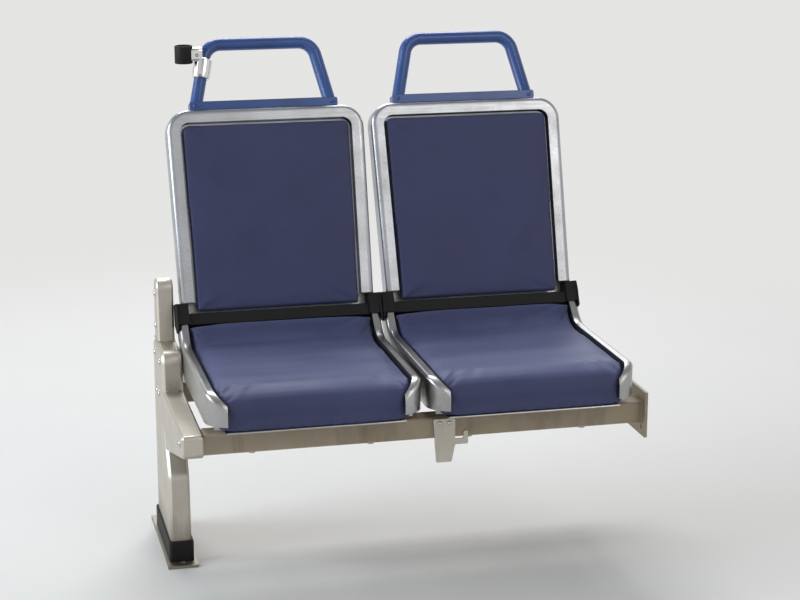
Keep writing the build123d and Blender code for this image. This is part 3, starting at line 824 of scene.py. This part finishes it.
def welds():
    """Beads on the leg, in bare metal, and on the painted frame."""
    leg = bmesh.new()
    for side in SIDES:
        bead(leg, [Vector((side * ARM_SEAM_SIDE, y, z)) for y, z in ARM_SEAM], **BEADS["arm_side"])
    bead(leg, [Vector((x, ARM_TOP["y"], ARM_TOP["z"])) for x in ARM_TOP["x"]], **BEADS["arm_top"])
    foot = box_corners(Vector(UPRIGHT_FOOT["middle"]), Vector((UPRIGHT_FOOT["half_x"], 0, 0)),
                       Vector((0, UPRIGHT_FOOT["half_y"], 0)))
    bead(leg, foot, **BEADS["upright_foot"])
    added("leg_welds", leg, weld_metal)
    painted_beads = bmesh.new()
    for place in BEAM_MIDDLE.values():
        end = box_corners(Vector((BEAM_END["x"], place.y, place.z)), Vector((0, BEAM_END["half"], 0)),
                          Vector((0, 0, BEAM_END["half"])))
        bead(painted_beads, end, **BEADS["beam_end"])
    for middle in SEAT_MIDDLE.values():
        for across in (side * RAIL_SIDE + edge * RAIL_HALF for side in SIDES for edge in SIDES):
            foot = [Vector((middle + across, SUPPORT_FOOT["y"], z)) for z in SUPPORT_FOOT["z"]]
            bead(painted_beads, foot, **BEADS["support_foot"])
    added("frame_welds", painted_beads, frame_paint)


def front_lips():
    """The pan's rolled hem under the front of each cushion."""
    for seat, middle in SEAT_MIDDLE.items():
        form = bmesh.new()
        loops = []
        for step in range(LIP_STEPS + 1):
            across = 2 * step / LIP_STEPS - 1
            bow = LIP_BOW["reach"] * abs(across) ** LIP_BOW["power"]
            centre = Vector((middle + across * LIP["half"], LIP["y"] + bow, LIP["z"]))
            loops.append([form.verts.new(centre + Vector((0, math.cos(turn) * LIP["thick_y"],
                                                          math.sin(turn) * LIP["thick_z"])))
                          for turn in turns(LIP_SIDES)])
        skin(form, loops)
        added(f"{seat}_front_lip", form, stainless_pan)


# Stage, light and camera.
def stage():
    """Round pale floor that turns into the plain backdrop further out."""
    form = bmesh.new()
    bmesh.ops.create_circle(form, cap_ends=True, segments=FLOOR_SIDES, radius=FLOOR_RADIUS)
    mesh = bpy.data.meshes.new("floor")
    form.to_mesh(mesh)
    form.free()
    floor = bpy.data.objects.new("floor", mesh)
    bpy.context.collection.objects.link(floor)
    material, net = new_material("floor")
    tint = net.spread(net.cloud(net.place(), scale=2.0), 0.3, 0.7)
    lighter = tuple(part * FLOOR_TINT for part in FLOOR_COLOUR)
    net.surface(net.blend(tint, FLOOR_COLOUR, lighter), roughness=0.8)
    glow = net.nodes.new("ShaderNodeEmission")
    net.feed(glow.inputs["Color"], BACKDROP_COLOUR)
    distance = net.nodes.new("ShaderNodeVectorMath")
    distance.operation = "DISTANCE"
    distance.inputs[1].default_value = STAGE_MIDDLE
    net.links.new(net.coordinates("Object"), distance.inputs[0])
    far = net.spread(distance.outputs["Value"], BACKDROP_FROM, BACKDROP_FULL, smooth=True)
    net.show(net.times(far, net.seen()), net.nodes["Principled BSDF"].outputs["BSDF"],
             glow.outputs["Emission"], "Material Output")
    mesh.materials.append(material)


def world():
    """What surrounds the seat: a dim room with pale windows left, right and overhead for its light, and the
    backdrop for what is seen."""
    surroundings = bpy.data.worlds.new("world")
    net = Network(surroundings)
    direction = net.coordinates("Generated")
    up = net.along(direction, "Z")
    sideways = net.spread(net.maths("ABSOLUTE", net.along(direction, "X")), *WINDOW_SIDEWAYS)
    windows = net.maths("MAXIMUM", net.times(sideways, net.spread(up, *WINDOW_UP)),
                        net.spread(up, *SKYLIGHT_UP))
    room = net.nodes["Background"]
    room.inputs["Strength"].default_value = WORLD_LIGHT
    net.feed(room.inputs["Color"], net.blend(windows, ROOM_COLOUR, WINDOW_COLOUR))
    backdrop = net.nodes.new("ShaderNodeBackground")
    above = net.spread(up, *BACKDROP_UP)
    net.feed(backdrop.inputs["Color"], net.blend(above, BACKDROP_COLOUR, BACKDROP_ABOVE))
    net.show(net.seen(), room.outputs["Background"], backdrop.outputs["Background"], "World Output")
    bpy.context.scene.world = surroundings


def aimed(name, data, place):
    """A lamp or camera at a place, turned to the middle of the seat."""
    thing = bpy.data.objects.new(name, data)
    thing.location = place
    thing.rotation_mode = "QUATERNION"
    thing.rotation_quaternion = (Vector(CAMERA_AIM) - thing.location).to_track_quat("-Z", "Y")
    bpy.context.collection.objects.link(thing)
    return thing


def lamps():
    """Soft boxes where the bus has windows."""
    for name, facts in LAMPS.items():
        data = bpy.data.lights.new(name, "AREA")
        data.shape = "RECTANGLE"
        data.size, data.size_y = facts["size"]
        data.energy = facts["power"]
        data.color = facts["colour"]
        aimed(name, data, facts["place"])


def camera():
    """The photograph's viewing angle."""
    data = bpy.data.cameras.new("camera")
    data.lens = CAMERA_LENS
    bpy.context.scene.camera = aimed("camera", data, CAMERA_PLACE)


bpy.context.scene.view_settings.view_transform = "Standard"

for node_name in frame["nodes"]:
    dress(node_name)
for seat_name in SEATS:
    pad(seat_name, "seat", Vector((0, 0, 1)), seat_height)
    pad(seat_name, "back", BACK_FORWARD, back_height)
front_lips()
welds()
fittings()

stage()
world()
lamps()
camera()
